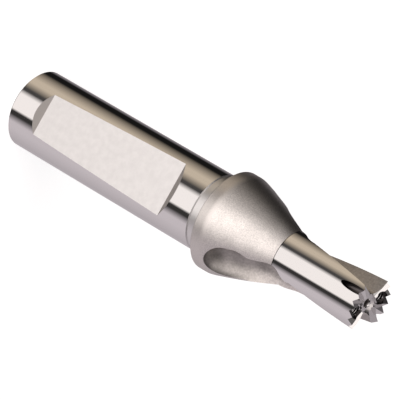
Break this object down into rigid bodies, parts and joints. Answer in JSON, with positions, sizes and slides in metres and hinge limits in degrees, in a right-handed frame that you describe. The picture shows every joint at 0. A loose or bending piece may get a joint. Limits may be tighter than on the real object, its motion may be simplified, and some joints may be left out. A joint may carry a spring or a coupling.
{
  "type": "replaceable head drill body",
  "caption": "One-piece steel body of an exchangeable-head drill: straight shank with inclined flat, flange, cone, fluted nose and serrated head seat.",
  "frame": {"origin": "centre of the shank's flat rear face", "axes": "+Z along the drill axis from the rear face to the serrated seat; the inclined clamping flat faces -Y"},
  "size_m": [0.0202, 0.0202, 0.0854],
  "materials": {
    "hardened_steel": "ground shank, satin cone and flutes"
  },
  "bodies": {
    "root": {"drill_body": "hardened_steel"}
  },
  "joints": []
}
